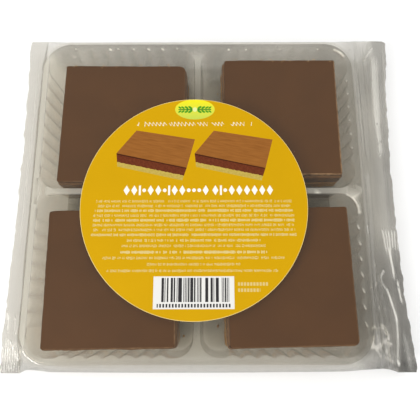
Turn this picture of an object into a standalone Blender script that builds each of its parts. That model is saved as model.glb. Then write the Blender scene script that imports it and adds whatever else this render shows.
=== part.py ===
"""Four squares of millionaires shortbread in a clear formed tray, closed in a sleeve of clear film.

The pack lies flat. X runs from one crimped end of the film to the other, Y from the near side to the
far side and Z up. The origin is below the middle of the tray, on the surface that the pack lies on.
"""

import math
import random

import bmesh
import bpy
from mathutils import Matrix, Vector

MM = 0.001
GAP = 0.3 * MM  # between pieces that touch

# Film and its seams
FILM = 0.3 * MM  # wall of the film, drawn thicker than the real 0.03 mm
BACK_SEAM_WIDTH = 14.0 * MM
BACK_SEAM_HALF = 75.0 * MM
CRIMP_WIDTH = 10.0 * MM
CRIMP_HALF_LENGTH = 93.0 * MM  # about half of the film's girth, so it is wider than the tray
CRIMP_SHIFT = 3.2 * MM  # towards the far side
CRIMP_HEIGHT = 13.0 * MM
LEFT_CRIMP_X = -88.0 * MM  # the tray lies against the left end of the sleeve
RIGHT_CRIMP_X = 96.6 * MM
LEFT_EARS = 1.5 * MM  # how much farther out a crimp's two ends are than its middle
RIGHT_EARS = 4.7 * MM
EAR_CORNER = 1.2 * MM
SIDE_BULGE = 88.0 * MM  # how far the loose film stands out along the near and far sides
SLEEVE_HALF = 68.0 * MM  # the plain stretch of the sleeve, between its two gathered ends

# Tray
TRAY_HALF = 83.6 * MM
TRAY_CORNER = 15.0 * MM
TRAY_DEPTH = 28.5 * MM
TRAY_WALL = 0.5 * MM
LIP_DROP = 1.2 * MM
LIP_FLARE = 0.4 * MM
FOOT_TUCK = 0.6 * MM  # how far the film tucks in under the wells
DIVIDER = 3.0 * MM  # flat top between two wells
WELL = 79.4 * MM
WELL_OUTER_CORNER = 11.0 * MM
WELL_INNER_CORNER = 9.0 * MM
WELL_DRAFT = 1.4 * MM
FLOOR_EDGE = 1.0 * MM
FLOOR_EDGE_HEIGHT = 1.5 * MM
RIB_PITCH = 7.7 * MM
RIB_WIDTH = 6.6 * MM
RIB_TOP = 3.2 * MM
RIB_DEPTH = 0.9 * MM
RIB_START = 0.6 * MM  # below the rim
RIB_SHOULDER = 1.5 * MM  # height over which a rib rises to its full depth

# Squares of shortbread
SHORTBREAD = 9.7 * MM
CARAMEL = 9.0 * MM
CHOCOLATE = 2.5 * MM
CARAMEL_SPREAD = 0.4  # share of the shortbread's spread that the caramel has
CARAMEL_BULGE = 0.4 * MM  # how much farther the caramel stands out all round
LAYER_ROUNDING = 0.4 * MM  # how much rounder each layer's corners are than those of the one above

# Label
LABEL_RADIUS = 57.0 * MM
LABEL_THICKNESS = 0.2 * MM
LABEL_CENTRE = (-1.6 * MM, -7.3 * MM)

# Heights, from the surface that the pack lies on
FILM_BOTTOM = FILM + GAP  # over the back seam
TRAY_BOTTOM = FILM_BOTTOM + FILM + GAP
FLOOR_TOP = TRAY_BOTTOM + TRAY_WALL
RIM_TOP = TRAY_BOTTOM + TRAY_DEPTH
FILM_TOP = RIM_TOP + GAP + FILM
LABEL_BOTTOM = FILM_TOP + GAP


def square(name, centre, size, turn, spread, corners):
    """A square's place: centre and size of its chocolate top in mm, its turn in degrees, how far the
    shortbread stands out on its left, right, near and far sides in mm, and the radii in mm of the
    chocolate's corners, anticlockwise from the far right one."""
    return {
        "name": name,
        "centre": Vector(centre) * MM,
        "size": Vector(size) * MM,
        "turn": math.radians(turn),
        "spread": [side * MM for side in spread],
        "corners": [radius * MM for radius in corners],
    }


SQUARES = (
    square("far_left", (-40.45, 40.05), (66.7, 67.6), -0.4, (0.8, 0.9, 1.2, 0.7), (3.2, 1.2, 1.4, 1.6)),
    square("far_right", (45.3, 43.75), (61.7, 67.0), 0.0, (1.6, 1.1, 1.3, -0.6), (1.2, 1.2, 1.4, 1.4)),
    square("near_left", (-43.35, -42.95), (65.3, 69.1), 0.7, (0.9, 1.1, 0.0, 0.7), (1.4, 1.2, 1.2, 2.2)),
    square("near_right", (46.7, -42.1), (62.8, 69.2), 1.2, (2.3, -1.2, 0.6, 0.6), (1.2, 1.2, 1.2, 3.0)),
)
LAYERS = {  # from the underside up: thickness, roughness of the cut sides, and (height, inset) of each row
    "shortbread": (
        SHORTBREAD,
        0.45 * MM,
        ((0.0, 1.2 * MM), (2.6 * MM, 0.0), (6.2 * MM, 0.3 * MM), (SHORTBREAD, 0.2 * MM)),
    ),
    "caramel": (
        CARAMEL,
        0.25 * MM,
        ((0.0, 0.3 * MM), (CARAMEL * 0.5, 0.0), (CARAMEL, 0.3 * MM)),
    ),
    "chocolate": (
        CHOCOLATE,
        0.12 * MM,
        ((0.0, 0.1 * MM), (CHOCOLATE - 0.8 * MM, 0.0), (CHOCOLATE, 0.7 * MM)),
    ),
}
SIDE_STEPS = 9  # stretches along each cut side of a layer


def clear_scene():
    for old in list(bpy.data.objects):
        bpy.data.objects.remove(old)


def new_collection(name):
    made = bpy.data.collections.new(name)
    bpy.context.scene.collection.children.link(made)
    return made


def material(name, colour, roughness, alpha=1.0):
    """A plain Principled finish. A clear plastic has an alpha below 1."""
    made = bpy.data.materials.new(name)
    made.use_nodes = True
    shader = made.node_tree.nodes["Principled BSDF"]
    shader.inputs["Base Color"].default_value = (*colour, 1.0)
    shader.inputs["Roughness"].default_value = roughness
    shader.inputs["Metallic"].default_value = 0.0
    shader.inputs["Alpha"].default_value = alpha
    return made


def add_object(name, bm, finish, collection):
    """Turns a bmesh into a named object of the collection."""
    mesh = bpy.data.meshes.new(name)
    bm.to_mesh(mesh)
    bm.free()
    made = bpy.data.objects.new(name, mesh)
    mesh.materials.append(finish)
    collection.objects.link(made)
    return made


def shade_round(made, angle):
    """Smooth shading with the edges sharper than the angle kept sharp."""
    made.data.shade_smooth()
    made.data.set_sharp_from_angle(angle=math.radians(angle))


def loft(bm, rings):
    """Joins rings of vertices, all of one length, with a band of faces between each and the next."""
    for ring, following in zip(rings, rings[1:]):
        for i, corner in enumerate(ring):
            j = (i + 1) % len(ring)
            bm.faces.new((corner, ring[j], following[j], following[i]))


def ring_of(bm, points):
    return [bm.verts.new(point) for point in points]


def closed_edges(bm, ring):
    return [bm.edges.new((ring[i - 1], ring[i])) for i in range(len(ring))]


def arc(centre, radius, start, steps):
    """Points and outward directions on a quarter circle that starts at an angle in degrees."""
    for step in range(steps + 1):
        angle = math.radians(start + 90.0 * step / steps)
        outward = Vector((math.cos(angle), math.sin(angle)))
        yield centre + outward * radius, outward


def rounded_square(half, radius, steps):
    """Points and outward directions round a square with round corners, anticlockwise."""
    inner = half - radius
    for start, side in ((0, (1, 1)), (90, (-1, 1)), (180, (-1, -1)), (270, (1, -1))):
        yield from arc(Vector(side) * inner, radius, start, steps)


# Tray


def ribs_between(start, end, outward):
    """Points of the upright ribs on a straight wall, each with the share of the rib's depth there."""
    run = end - start
    along = run.normalized()
    count = int(run.length // RIB_PITCH)
    margin = (run.length - (count - 1) * RIB_PITCH) / 2
    for rib in range(count):
        middle = start + along * (margin + rib * RIB_PITCH)
        for offset, share in (
            (-RIB_WIDTH / 2, 0.0),
            (-RIB_TOP / 2, 1.0),
            (RIB_TOP / 2, 1.0),
            (RIB_WIDTH / 2, 0.0),
        ):
            yield middle + along * offset, outward, share


def well_outline():
    """The rim of the far right well: (point, outward direction, rib share). The other wells mirror it.
    Its two walls along the outside of the tray are ribbed, and the two along the divider are plain."""
    centre = Vector((1, 1)) * (DIVIDER + WELL) / 2
    corners = (
        (0, (1, 1), WELL_OUTER_CORNER, True),
        (90, (-1, 1), WELL_INNER_CORNER, False),
        (180, (-1, -1), WELL_INNER_CORNER, False),
        (270, (1, -1), WELL_INNER_CORNER, True),
    )
    arcs = []
    for start, side, radius, ribbed in corners:
        middle = centre + Vector(side) * (WELL / 2 - radius)
        arcs.append((list(arc(middle, radius, start, 5)), ribbed))
    outline = []
    for (points, ribbed), (following, _) in zip(arcs, arcs[1:] + arcs[:1]):
        outline += [(point, outward, 0.0) for point, outward in points]
        if ribbed:
            outline += ribs_between(points[-1][0], following[0][0], points[-1][1])
    return outline


def mirrored(outline, side_x, side_y):
    """The outline in another quarter of the tray, still anticlockwise."""
    flip = Vector((side_x, side_y))
    turned = [(point * flip, outward * flip, share) for point, outward, share in outline]
    return turned if side_x * side_y > 0 else turned[::-1]


def well_ring(outline, height, inset, rib):
    """The well's wall at one height, moved in by the inset. The ribs stand out of it into the well."""
    for point, outward, share in outline:
        flat = point - outward * (share * rib * RIB_DEPTH + inset)
        yield (flat.x, flat.y, height)


def make_tray(finish, collection):
    """The formed sheet: a rim with a turned-down lip, and four ribbed wells. It is one open surface,
    the side that faces the food, and Solidify gives it its wall."""
    bm = bmesh.new()
    edge = list(rounded_square(TRAY_HALF, TRAY_CORNER, 8))
    rim = ring_of(bm, [(*point, RIM_TOP) for point, _ in edge])
    lip_points = [point + outward * LIP_FLARE for point, outward in edge]
    lip = ring_of(bm, [(*point, RIM_TOP - LIP_DROP) for point in lip_points])
    shoulder = RIB_START + RIB_SHOULDER
    levels = (
        (RIM_TOP - RIB_START, WELL_DRAFT * RIB_START / TRAY_DEPTH, 0.0),
        (RIM_TOP - shoulder, WELL_DRAFT * shoulder / TRAY_DEPTH, 1.0),
        (FLOOR_TOP + FLOOR_EDGE_HEIGHT, WELL_DRAFT, 1.0),
        (FLOOR_TOP, WELL_DRAFT + FLOOR_EDGE, 0.6),
    )
    boundary = closed_edges(bm, rim)
    quarter = well_outline()
    for side_x, side_y in ((1, 1), (-1, 1), (-1, -1), (1, -1)):
        outline = mirrored(quarter, side_x, side_y)
        rings = [ring_of(bm, well_ring(outline, RIM_TOP, 0.0, 0.0))]
        boundary += closed_edges(bm, rings[0])
        rings += [ring_of(bm, well_ring(outline, *level)) for level in levels]
        loft(bm, rings)
        bm.faces.new(rings[-1])
    bmesh.ops.triangle_fill(bm, use_beauty=True, edges=boundary, normal=(0, 0, 1))
    loft(bm, [lip, rim])
    bmesh.ops.recalc_face_normals(bm, faces=bm.faces)
    floor = max(bm.faces, key=lambda face: len(face.verts))
    if floor.normal.z < 0:
        bmesh.ops.reverse_faces(bm, faces=bm.faces)
    tray = add_object("tray", bm, finish, collection)
    wall = tray.modifiers.new("wall", "SOLIDIFY")
    wall.thickness = TRAY_WALL
    wall.offset = -1.0
    wall.use_even_offset = True
    shade_round(tray, 40)


# Squares of shortbread


def block_outline(size, corners):
    """Points and outward directions round a rectangle with short round corners, close enough together
    along its sides to take an uneven edge."""
    sides = ((0, (1, 1)), (90, (-1, 1)), (180, (-1, -1)), (270, (1, -1)))
    arcs = []
    for (start, side), radius in zip(sides, corners):
        middle = Vector(side) * (size / 2 - Vector((radius, radius)))
        arcs.append(list(arc(middle, radius, start, 3)))
    for points, following in zip(arcs, arcs[1:] + arcs[:1]):
        yield from points
        start, outward = points[-1]
        end = following[0][0]
        for step in range(1, SIDE_STEPS):
            yield start.lerp(end, step / SIDE_STEPS), outward


def make_layer(name, size, corners, rows, rough, seed, finish, collection):
    """One layer of a square, as a closed block about its own middle. rows are (height, inset) from its
    underside up, and rough is how far its cut sides wander in and out."""
    draw = random.Random(seed)
    bm = bmesh.new()
    rings = []
    for height, inset in rows:
        points = []
        for point, outward in block_outline(size, corners):
            moved = point + outward * (draw.uniform(-rough, rough) - inset)
            points.append((moved.x, moved.y, height))
        rings.append(ring_of(bm, points))
    loft(bm, rings)
    bm.faces.new(rings[0][::-1])
    bm.faces.new(rings[-1])
    return add_object(name, bm, finish, collection)


def make_square(place, seed, finishes, collection):
    """Shortbread, caramel and chocolate, one above the other, turned together about the square's middle."""
    left, right, near, far = place["spread"]
    spread = Vector((left + right, near + far))
    offset = Vector((right - left, far - near)) / 2
    bulge = Vector((CARAMEL_BULGE, CARAMEL_BULGE)) * 2
    sizes = {
        "shortbread": (place["size"] + spread, offset, LAYER_ROUNDING * 2),
        "caramel": (
            place["size"] + spread * CARAMEL_SPREAD + bulge,
            offset * CARAMEL_SPREAD,
            LAYER_ROUNDING,
        ),
        "chocolate": (place["size"], Vector((0, 0)), 0.0),
    }
    height = FLOOR_TOP + GAP
    turn = Matrix.Rotation(place["turn"], 2)
    for index, (layer, (size, shift, rounding)) in enumerate(sizes.items()):
        thickness, rough, rows = LAYERS[layer]
        corners = [radius + rounding for radius in place["corners"]]
        name = f"{layer}_{place['name']}"
        made = make_layer(name, size, corners, rows, rough, seed + index, finishes[layer], collection)
        middle = place["centre"] + turn @ shift
        made.location = (middle.x, middle.y, height)
        made.rotation_euler.z = place["turn"]
        height += thickness + GAP


# Film


def crimp_end(crimp, inset, fin):
    """Points from the near ear to the far ear along one crimp, with the side creases that lead to it.
    The creases are drawn out from the plain stretch of the sleeve to the ears. With fin, the points
    along the crimp are on its outer edge, whose corners are taken off. Each ear is there twice, once
    for the crease and once for the crimp."""
    ears = RIGHT_EARS if crimp > 0 else LEFT_EARS
    reach = abs(crimp) - inset
    half = CRIMP_HALF_LENGTH - inset
    shares = (-1.0, -0.96, -0.8, -0.4, 0.0, 0.4, 0.8, 0.96, 1.0)
    across = [Vector((reach + ears * s * s, CRIMP_SHIFT + half * s)) for s in shares]
    near, far = (Vector((SLEEVE_HALF, side * (SIDE_BULGE - inset))) for side in (-1, 1))
    points = [near, near.lerp(across[0], 0.5), across[0]]
    for share, point in zip(shares, across):
        width = CRIMP_WIDTH - (EAR_CORNER if abs(share) == 1.0 else 0.0)
        points.append(point + Vector((width, 0)) if fin else point)
    points += [across[-1], far.lerp(across[-1], 0.5), far]
    return [Vector((math.copysign(point.x, crimp), point.y)) for point in points]


def rim_end(crimp, half, corner):
    """Points round one end of a rounded square, matched one to one with those of crimp_end."""
    inner = half - corner
    steps = 5  # as many as crimp_end has points before its middle ones
    angles = [math.radians(-90 + 90 * step / steps) for step in range(steps + 1)]
    near = [Vector((inner + corner * math.cos(a), -inner + corner * math.sin(a))) for a in angles]
    near[0] = Vector((SLEEVE_HALF, -half))
    middle = [Vector((half, y)) for y in (-0.4 * half, 0.0, 0.4 * half)]
    points = near + middle + [Vector((point.x, -point.y)) for point in near[::-1]]
    return [Vector((math.copysign(point.x, crimp), point.y)) for point in points]


def both_ends(one_end, *sizes):
    """An anticlockwise loop from the same outline function at the right and the left end."""
    return one_end(RIGHT_CRIMP_X, *sizes) + one_end(LEFT_CRIMP_X, *sizes)[::-1]


def pillow(inset, crimped):
    """The closed form of the wrapped pack, moved in by the inset: flat over the tray's rim, drawn down
    to the crimps and the side creases, and back in under the tray. The outside has the crimps too."""
    rim_half = TRAY_HALF + LIP_FLARE + GAP + FILM - inset
    base_half = TRAY_HALF - WELL_DRAFT - FOOT_TUCK - inset
    rim = both_ends(rim_end, rim_half, TRAY_CORNER)
    base = both_ends(rim_end, base_half, TRAY_CORNER)
    crease = both_ends(crimp_end, inset * 2, False)
    upper = [a.lerp(b, 0.5) for a, b in zip(rim, crease)]
    lower = [a.lerp(b, 0.5) for a, b in zip(base, crease)]
    top = FILM_TOP - inset
    bottom = FILM_BOTTOM + inset
    levels = [(base, bottom), (lower, (bottom + CRIMP_HEIGHT) / 2)]
    if crimped:
        fin = both_ends(crimp_end, 0.0, True)
        levels += [
            (crease, CRIMP_HEIGHT - FILM),
            (fin, CRIMP_HEIGHT - FILM),
            (fin, CRIMP_HEIGHT + FILM),
            (crease, CRIMP_HEIGHT + FILM),
        ]
    else:
        levels.append((crease, CRIMP_HEIGHT))
    levels += [(upper, (top + CRIMP_HEIGHT) / 2), (rim, top)]
    bm = bmesh.new()
    rings = [ring_of(bm, [(p.x, p.y, height) for p in ring]) for ring, height in levels]
    loft(bm, rings)
    bm.faces.new(rings[0][::-1])
    bm.faces.new(rings[-1])
    bmesh.ops.remove_doubles(bm, verts=bm.verts, dist=0.01 * MM)
    bmesh.ops.recalc_face_normals(bm, faces=bm.faces)
    return bm


def zone(name, low_x, high_x, finish, cutters):
    """A box that keeps one stretch of the film, from low_x to high_x."""
    bm = bmesh.new()
    bmesh.ops.create_cube(bm, size=1.0)
    reach = 300 * MM
    bmesh.ops.scale(bm, vec=(high_x - low_x, reach, reach), verts=bm.verts)
    bmesh.ops.translate(bm, vec=((low_x + high_x) / 2, 0, 0), verts=bm.verts)
    return add_cutter(name, bm, finish, cutters)


def add_cutter(name, bm, finish, cutters):
    made = add_object(name, bm, finish, cutters)
    made.hide_render = True
    made.display_type = "WIRE"
    return made


def boolean(made, operation, other):
    step = made.modifiers.new(operation.lower(), "BOOLEAN")
    step.operation = operation
    step.solver = "EXACT"
    step.object = other


def make_film(finish, collection, cutters):
    """The plain sleeve round the tray and its two gathered ends, each closed by its crimp."""
    hollow = add_cutter("film_hollow", pillow(FILM, crimped=False), finish, cutters)
    reach = 200 * MM
    cut = SLEEVE_HALF + GAP / 2
    stretches = (
        ("film_end_left", -reach, -cut),
        ("film_sleeve", -cut + GAP, cut - GAP),
        ("film_end_right", cut, reach),
    )
    for name, low_x, high_x in stretches:
        made = add_object(name, pillow(0.0, crimped=True), finish, collection)
        boolean(made, "DIFFERENCE", hollow)
        boolean(made, "INTERSECT", zone(name + "_zone", low_x, high_x, finish, cutters))


def make_back_seam(finish, collection):
    """The fin where the film's two long edges are sealed, folded flat under the pack."""
    bm = bmesh.new()
    bmesh.ops.create_cube(bm, size=1.0)
    bmesh.ops.scale(bm, vec=(BACK_SEAM_HALF * 2, BACK_SEAM_WIDTH, FILM), verts=bm.verts)
    made = add_object("film_back_seam", bm, finish, collection)
    made.location.z = FILM / 2


# Label


def make_label(finish, collection):
    """The round label on top of the film."""
    bm = bmesh.new()
    bmesh.ops.create_cone(
        bm,
        cap_ends=True,
        segments=96,
        radius1=LABEL_RADIUS,
        radius2=LABEL_RADIUS,
        depth=LABEL_THICKNESS,
    )
    label = add_object("label", bm, finish, collection)
    label.location = (*LABEL_CENTRE, LABEL_BOTTOM + LABEL_THICKNESS / 2)
    shade_round(label, 40)


def main():
    clear_scene()
    pack = new_collection("millionaires_shortbread_pack")
    cutters = new_collection("cutters")
    clear_tray = material("clear_tray_plastic", (0.78, 0.78, 0.74), 0.12, alpha=0.3)
    clear_film = material("clear_film", (0.85, 0.85, 0.83), 0.08, alpha=0.25)
    finishes = {
        "shortbread": material("baked_shortbread", (0.62, 0.42, 0.2), 0.85),
        "caramel": material("soft_caramel", (0.36, 0.16, 0.05), 0.4),
        "chocolate": material("milk_chocolate", (0.12, 0.063, 0.032), 0.45),
    }
    paper = material("label_paper", (0.68, 0.41, 0.015), 0.4)
    make_tray(clear_tray, pack)
    for number, place in enumerate(SQUARES):
        make_square(place, number * 10, finishes, pack)
    make_film(clear_film, pack, cutters)
    make_back_seam(clear_film, pack)
    make_label(paper, pack)


main()
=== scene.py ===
"""The looks of a pack of millionaires shortbread.

Four squares of shortbread, caramel and milk chocolate lie in the wells of a clear formed tray. Clear film
with a crimp at each end closes the pack, and a round printed label lies on the film.
"""

import math
import random
from functools import reduce
from operator import add, mul

import bmesh
import bpy
from bpy.props import FloatProperty, FloatVectorProperty, IntProperty, PointerProperty
from mathutils import Matrix, Vector, noise


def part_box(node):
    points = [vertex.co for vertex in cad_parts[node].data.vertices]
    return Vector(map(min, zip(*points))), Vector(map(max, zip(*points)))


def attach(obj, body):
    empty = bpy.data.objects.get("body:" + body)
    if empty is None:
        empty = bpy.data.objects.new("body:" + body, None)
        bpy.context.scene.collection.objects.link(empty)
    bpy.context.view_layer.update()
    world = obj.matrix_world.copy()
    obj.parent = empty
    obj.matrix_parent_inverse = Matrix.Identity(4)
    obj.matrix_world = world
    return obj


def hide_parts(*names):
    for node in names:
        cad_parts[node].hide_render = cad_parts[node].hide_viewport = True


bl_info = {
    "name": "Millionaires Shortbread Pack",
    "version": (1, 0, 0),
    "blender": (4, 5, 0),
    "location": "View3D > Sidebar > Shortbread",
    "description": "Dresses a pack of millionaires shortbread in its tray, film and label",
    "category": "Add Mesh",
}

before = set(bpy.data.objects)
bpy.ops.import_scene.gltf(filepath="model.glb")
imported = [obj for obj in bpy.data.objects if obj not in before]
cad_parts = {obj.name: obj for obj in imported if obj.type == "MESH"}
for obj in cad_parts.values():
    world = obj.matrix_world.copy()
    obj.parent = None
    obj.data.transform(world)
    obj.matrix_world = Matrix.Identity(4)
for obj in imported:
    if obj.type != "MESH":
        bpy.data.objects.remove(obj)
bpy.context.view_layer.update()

MM = 0.001
PLACES = ("far_left", "far_right", "near_left", "near_right")
TURNS = {"far_left": -0.4, "near_left": 0.7, "near_right": 1.2}  # degrees askew in its well
CORNERS = {  # radii in mm of the chocolate's corners, anticlockwise from the far right one
    "far_left": (3.2, 1.2, 1.4, 1.6),
    "far_right": (1.2, 1.2, 1.4, 1.4),
    "near_left": (1.4, 1.2, 1.2, 2.2),
    "near_right": (1.2, 1.2, 1.2, 3.0),
}
RUBBED = {"far_left": 0.2, "far_right": 1.0, "near_left": 0.6, "near_right": 0.35}  # on the right edge
ROUNDING = {"chocolate": 0.0, "caramel": 0.4, "shortbread": 0.8}  # mm, on top of CORNERS


# What a user would change


def length(name, description, millimetres):
    return FloatProperty(name=name, description=description, default=millimetres * MM, unit="LENGTH")


def angle(name, description, degrees):
    return FloatProperty(name=name, description=description, default=math.radians(degrees), subtype="ANGLE")


def colour(name, description, *default):
    return FloatVectorProperty(
        name=name, description=description, default=default, subtype="COLOR", min=0.0, max=1.0
    )


class TraySettings(bpy.types.PropertyGroup):
    corner: length("Corner", "Radius of the tray's outer corners", 15.0)
    lip: length("Lip", "How far the tray's edge is turned down", 1.2)
    divider: length("Divider", "Width of the flat top between two wells", 3.0)
    well: length("Well", "Side of a well at the rim", 79.4)
    well_corner: length("Well corner", "Radius of a well's outer corner", 11.0)
    inner_corner: length("Inner corner", "Radius of a well's other corners", 9.0)
    draft: length("Draft", "How much a well narrows on each side towards its floor", 1.4)
    fillet: length("Fillet", "Radius of the edge between rim and well", 0.7)
    floor_fillet: length("Floor fillet", "Radius of the edge between well and floor", 1.6)
    rib_pitch: length("Rib pitch", "Distance from rib to rib", 7.7)
    rib_depth: length("Rib depth", "How far a rib stands into the well", 1.25)
    rib_start: length("Rib start", "How far below the rim the ribs begin", 0.3)
    rib_shoulder: length("Rib shoulder", "Height of a rib's rounded top", 1.7)
    tint: colour("Tint", "Colour of light that passes straight through the sheet", 1.0, 0.985, 0.935)
    edge_tint: colour("Edge tint", "Colour of light that passes through it aslant", 0.26, 0.25, 0.22)


class SquareSettings(bpy.types.PropertyGroup):
    spacing: length("Spacing", "Distance between the points of a cut side", 0.5)
    chocolate: colour("Chocolate", "Colour of the milk chocolate", 0.109, 0.043, 0.0085)
    caramel: colour("Caramel", "Colour of the caramel", 0.2, 0.1, 0.036)
    shortbread: colour("Shortbread", "Colour of the shortbread's pale inside", 0.56, 0.36, 0.17)
    crust: colour("Crust", "Colour of the shortbread's browned parts", 0.33, 0.155, 0.05)
    crumbs: IntProperty(name="Crumbs", description="Loose crumbs in the tray", default=90, min=0)


class FilmSettings(bpy.types.PropertyGroup):
    crimp_width: length("Crimp width", "Width of the seal across each end", 10.0)
    crimp_height: length("Crimp height", "Height of the crimps above the table", 13.0)
    crimp_shift: length("Crimp shift", "How far the crimps lie towards the far side", 3.2)
    left_ears: length("Left ears", "How far the ends of the left crimp stand out", 1.5)
    right_ears: length("Right ears", "How far the ends of the right crimp stand out", 4.7)
    rib_pitch: length("Crimp rib pitch", "Distance between the fine ribs of a crimp", 1.25)
    rib_height: length("Crimp rib height", "Height of the fine ribs of a crimp", 0.16)
    near_bulge: length("Near bulge", "How far the film stands out along the near side", 88.8)
    tint: colour("Tint", "Colour of light that passes straight through the film", 0.875, 0.86, 0.825)
    edge_tint: colour("Edge tint", "Colour of light that passes through it aslant", 0.42, 0.41, 0.38)


class LabelSettings(bpy.types.PropertyGroup):
    paper: colour("Paper", "Ground colour of the label", 0.56, 0.312, 0.0005)
    ink: colour("Pale ink", "Colour of the small strokes", 0.68, 0.6, 0.3)
    panel: colour("Panel", "Colour of the light panel", 0.72, 0.71, 0.68)


class StageSettings(bpy.types.PropertyGroup):
    floor: colour("Floor", "Colour of the floor", 0.96, 0.96, 0.96)
    field_of_view: angle("Field of view", "Camera's angle of view", 52.12)
    tilt: angle("Tilt", "Camera's tilt away from straight down", 12.79)
    roll: angle("Roll", "Camera's roll", -0.13)


class PackSettings(bpy.types.PropertyGroup):
    tray: PointerProperty(type=TraySettings)
    squares: PointerProperty(type=SquareSettings)
    film: PointerProperty(type=FilmSettings)
    label: PointerProperty(type=LabelSettings)
    stage: PointerProperty(type=StageSettings)


# Shader maths


def math_method(operation):
    """A method of Value that adds one Math node."""
    return lambda value, *others: value.math(operation, *others)


class Value:
    """A shader socket. Arithmetic and comparisons on it add Math nodes to its finish."""

    def __init__(self, finish, socket):
        self.finish = finish
        self.socket = socket

    def math(self, operation, *others):
        return self.finish.maths(operation, self, *others)

    def __rsub__(self, other):
        return self.finish.maths("SUBTRACT", other, self)

    __add__ = __radd__ = math_method("ADD")
    __sub__ = math_method("SUBTRACT")
    __mul__ = __rmul__ = math_method("MULTIPLY")
    __truediv__ = math_method("DIVIDE")
    __pow__ = math_method("POWER")
    __mod__ = math_method("FLOORED_MODULO")
    __lt__ = math_method("LESS_THAN")
    __gt__ = math_method("GREATER_THAN")
    __abs__ = math_method("ABSOLUTE")


class Finish:
    """A material under construction."""

    def __init__(self, name):
        self.material = bpy.data.materials.new(name)
        self.material.use_nodes = True
        self.tree = self.material.node_tree
        self.tree.nodes.clear()

    def node(self, kind, settings=(), values=(), output=0):
        """Adds a node: its settings first, then the values or links of its sockets."""
        made = self.tree.nodes.new(kind)
        for name, setting in dict(settings).items():
            if name == "stops":
                set_stops(made.color_ramp, setting)
            else:
                setattr(made, name, setting)
        for key, value in dict(values).items():
            if isinstance(value, Value):
                self.tree.links.new(value.socket, made.inputs[key])
            else:
                made.inputs[key].default_value = value
        return Value(self, made.outputs[output])

    def maths(self, operation, *values):
        return self.node("ShaderNodeMath", {"operation": operation}, dict(enumerate(values)))

    def place(self):
        return self.node("ShaderNodeTexCoord", output=3)

    def split(self, vector):
        """The x, y and z of a vector."""
        first = self.node("ShaderNodeSeparateXYZ", values={0: vector})
        return [Value(self, socket) for socket in first.socket.node.outputs]

    def vector(self, x, y, z=0.0):
        return self.node("ShaderNodeCombineXYZ", values={0: x, 1: y, 2: z})

    def stretch(self, vector, x, y, z):
        return self.node("ShaderNodeVectorMath", {"operation": "MULTIPLY"}, {0: vector, 1: (x, y, z)})

    def noise(self, vector, size, detail=2.0, rough=0.5):
        """Soft noise with features of about that size, in metres, on a vector in metres."""
        values = {"Vector": vector, "Scale": 1.0 / size, "Detail": detail, "Roughness": rough}
        return self.node("ShaderNodeTexNoise", values=values)

    def strip_noise(self, along, size, shift):
        """Noise along a line, for print."""
        values = {"W": along / size + shift, "Scale": 1.0, "Detail": 1.0}
        return self.node("ShaderNodeTexNoise", {"noise_dimensions": "1D"}, values)

    def ramp(self, value, *stops):
        """Maps a number to a number through (place, number) stops."""
        greys = [(place, (grey, grey, grey, 1.0)) for place, grey in stops]
        return self.node("ShaderNodeValToRGB", {"stops": greys}, {0: value})

    def mix(self, factor, below, above):
        """Mixes two colours."""
        values = {0: factor, 6: opaque(below), 7: opaque(above)}
        return self.node("ShaderNodeMix", {"data_type": "RGBA"}, values, output=2)

    def bump(self, height, depth, strength=1.0):
        return self.node("ShaderNodeBump", values={"Height": height, "Distance": depth, "Strength": strength})

    def principled(self, values):
        return self.node("ShaderNodeBsdfPrincipled", values=values)

    def blend(self, factor, below, above):
        """Mixes two shaders."""
        return self.node("ShaderNodeMixShader", values={0: factor, 1: below, 2: above})

    def show(self, shader):
        out = self.tree.nodes.new("ShaderNodeOutputMaterial")
        self.tree.links.new(shader.socket, out.inputs["Surface"])
        return self.material

    def surface(self, values):
        """Ends the finish with one plain surface."""
        return self.show(self.principled(values))

    def painted(self, name):
        """A number that is painted on the mesh."""
        return self.node("ShaderNodeAttribute", {"attribute_name": name}, output=2)

    def see_through(self, tone):
        return self.node("ShaderNodeBsdfTransparent", values={"Color": opaque(tone)})


def opaque(value):
    """A colour of three numbers as one of four. Sockets stay as they are."""
    return value if isinstance(value, Value) else (*tuple(value)[:3], 1.0)


def times(tone, factor):
    return [part * factor for part in tone]


def set_stops(ramp, stops):
    while len(ramp.elements) < len(stops):
        ramp.elements.new(0.5)
    for element, (place, shade) in zip(ramp.elements, stops):
        element.position = place
        element.color = shade


# Finishes


PAINTED_SHADE_SHARE = 0.42  # share of the light that a sheet lets through where its painted shade is full
DARK_EDGE = 8.0  # how narrow the dark of a sheet seen aslant is
# the milky look of the sheets' haze, also used for their painted highlights
HAZE_AND_HIGHLIGHT_LOOK = {"Base Color": (0.95, 0.93, 0.87, 1.0), "Roughness": 0.35}


def clear_plastic(name, tint, edge_tint, haze, gloss, roughness, grain):
    """Clear plastic sheet: light goes straight through, less of it aslant, with a faint haze and a gloss. Its
    painted shade darkens it where little light comes up from below; its painted highlights lie where creases
    catch light."""
    finish = Finish(name)
    ripple = finish.noise(finish.place(), grain, 2.0)
    normal = finish.bump(ripple, 0.1 * MM, 0.4)
    facing = finish.node("ShaderNodeLayerWeight", values={"Blend": 0.5, "Normal": normal}, output=1)
    # painted shade: the sheet lets through less light where its shade is painted on the mesh
    full_shade = finish.see_through(times(tint, PAINTED_SHADE_SHARE))
    through_with_shade = finish.blend(finish.painted("dusk"), finish.see_through(tint), full_shade)
    through = finish.blend(facing**DARK_EDGE, through_with_shade, finish.see_through(edge_tint))
    # faint haze, and painted highlights where they are painted on the mesh
    haze_and_highlight = finish.principled({**HAZE_AND_HIGHLIGHT_LOOK, "Normal": normal})
    through_haze_and_highlight = finish.blend(finish.painted("glare") + haze, through, haze_and_highlight)
    mirror = {"Base Color": (1.0, 1.0, 1.0, 1.0), "Metallic": 1.0, "Roughness": roughness, "Normal": normal}
    shine = gloss + 0.5 * facing**5.0
    return finish.show(finish.blend(shine, through_haze_and_highlight, finish.principled(mirror)))


RUBBED_CHOCOLATE = (0.4, 0.24, 0.12)


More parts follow.
